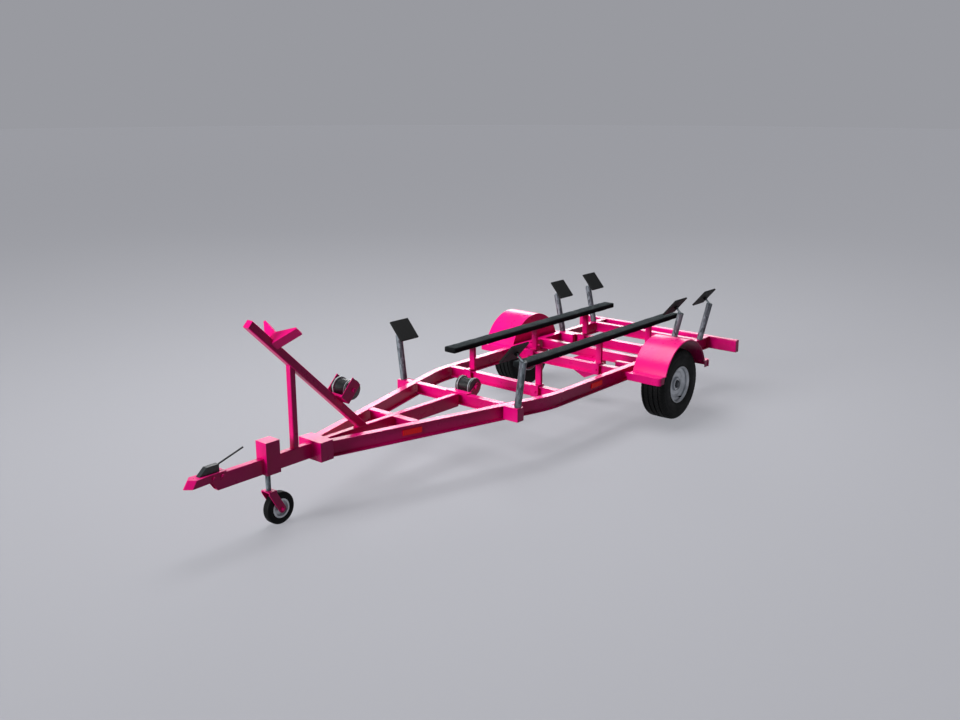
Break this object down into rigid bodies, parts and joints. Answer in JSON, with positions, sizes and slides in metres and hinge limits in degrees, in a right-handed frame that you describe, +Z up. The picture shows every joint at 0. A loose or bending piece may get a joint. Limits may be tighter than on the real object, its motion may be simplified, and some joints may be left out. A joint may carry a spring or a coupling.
{
  "type": "boat trailer",
  "caption": "Boat trailer with a V front frame, cross members, bow post, carpeted bunks, tilting side pads on props, fendered wheels and a jockey wheel.",
  "frame": {"origin": "on the ground under the middle of the trailer's length and width", "axes": "+X forward to the coupling, +Y to the left, +Z up"},
  "size_m": [4.622, 1.632, 1.1766],
  "materials": {
    "pink_paint": "hot pink gloss paint",
    "rubber": "black rubber",
    "tyre": "black tyre rubber",
    "rim_steel": "silver wheel steel",
    "galvanised": "dull grey steel",
    "pad_rubber": "matt black rubber pad",
    "bunk_carpet": "black carpet over timber",
    "black_steel": "black coated steel",
    "reflector_red": "red reflector"
  },
  "bodies": {
    "frame": {"axle_beam": "pink_paint", "axle_brackets": "pink_paint", "bow_post": "pink_paint", "bow_roller_bracket": "pink_paint", "bow_stop": "pink_paint", "bow_strut": "pink_paint", "bunk_left": "bunk_carpet", "bunk_posts": "pink_paint", "bunk_right": "bunk_carpet", "coupling_head": "pink_paint", "coupling_latch": "black_steel", "crossmember_1": "pink_paint", "crossmember_2": "pink_paint", "crossmember_3": "pink_paint", "crossmember_4": "pink_paint", "crossmember_5": "pink_paint", "crossmember_6": "pink_paint", "crossmember_7": "pink_paint", "drawbar": "pink_paint", "drawbar_collar": "pink_paint", "fender_arms": "pink_paint", "fender_left": "pink_paint", "fender_right": "pink_paint", "jockey_housing": "pink_paint", "keel_roller_bracket": "pink_paint", "prop_sockets": "pink_paint", "rail_left": "pink_paint", "rail_right": "pink_paint", "rear_beam": "pink_paint", "reflectors": "reflector_red", "side_props": "galvanised"},
    "wheel_left": {"tyre_left": "tyre", "rim_left": "rim_steel", "hub_left": "galvanised"},
    "wheel_right": {"tyre_right": "tyre", "rim_right": "rim_steel", "hub_right": "galvanised"},
    "jockey_leg": {"jockey_leg": "galvanised"},
    "jockey_fork": {"jockey_fork": "pink_paint"},
    "jockey_wheel": {"jockey_rim": "rim_steel", "jockey_tyre": "tyre"},
    "bow_roller": {"bow_roller": "rubber"},
    "keel_roller": {"keel_roller": "rubber"},
    "pad_front_left": {"pad_front_left": "pad_rubber"},
    "pad_front_right": {"pad_front_right": "pad_rubber"},
    "pad_middle_left": {"pad_middle_left": "pad_rubber"},
    "pad_middle_right": {"pad_middle_right": "pad_rubber"},
    "pad_rear_left": {"pad_rear_left": "pad_rubber"},
    "pad_rear_right": {"pad_rear_right": "pad_rubber"}
  },
  "joints": [
    {"name": "wheel_left_spin", "type": "hinge", "parent": "frame", "child": "wheel_left", "pos_m": [-1.345, 0.683, 0.26], "axis": [0, 1, 0], "continuous": true},
    {"name": "wheel_right_spin", "type": "hinge", "parent": "frame", "child": "wheel_right", "pos_m": [-1.345, -0.683, 0.26], "axis": [0, 1, 0], "continuous": true},
    {"name": "jockey_lift", "type": "slide", "parent": "frame", "child": "jockey_leg", "axis": [0, 0, 1], "range_m": [-0.07, 0.045]},
    {"name": "jockey_swivel", "type": "hinge", "parent": "jockey_leg", "child": "jockey_fork", "pos_m": [1.782, 0, 0.214], "axis": [0, 0, 1], "continuous": true},
    {"name": "jockey_spin", "type": "hinge", "parent": "jockey_fork", "child": "jockey_wheel", "pos_m": [1.72, 0, 0.0935], "axis": [0, 1, 0], "continuous": true},
    {"name": "bow_roller_spin", "type": "hinge", "parent": "frame", "child": "bow_roller", "pos_m": [1.19388, 0, 0.66354], "axis": [0, 1, 0], "continuous": true},
    {"name": "keel_roller_spin", "type": "hinge", "parent": "frame", "child": "keel_roller", "pos_m": [0.111, 0, 0.435], "axis": [0, 1, 0], "continuous": true},
    {"name": "pad_front_left_tilt", "type": "hinge", "parent": "frame", "child": "pad_front_left", "pos_m": [0.21, 0.48787, 0.74825], "axis": [1, 0, 0], "range_deg": [-15, 15]},
    {"name": "pad_front_right_tilt", "type": "hinge", "parent": "frame", "child": "pad_front_right", "pos_m": [0.21, -0.48787, 0.74825], "axis": [1, 0, 0], "range_deg": [-15, 15]},
    {"name": "pad_middle_left_tilt", "type": "hinge", "parent": "frame", "child": "pad_middle_left", "pos_m": [-1.665, 0.53661, 0.74018], "axis": [1, 0, 0], "range_deg": [-15, 15]},
    {"name": "pad_middle_right_tilt", "type": "hinge", "parent": "frame", "child": "pad_middle_right", "pos_m": [-1.665, -0.53661, 0.74018], "axis": [1, 0, 0], "range_deg": [-15, 15]},
    {"name": "pad_rear_left_tilt", "type": "hinge", "parent": "frame", "child": "pad_rear_left", "pos_m": [-2.117, 0.53661, 0.74018], "axis": [1, 0, 0], "range_deg": [-15, 15]},
    {"name": "pad_rear_right_tilt", "type": "hinge", "parent": "frame", "child": "pad_rear_right", "pos_m": [-2.117, -0.53661, 0.74018], "axis": [1, 0, 0], "range_deg": [-15, 15]}
  ]
}
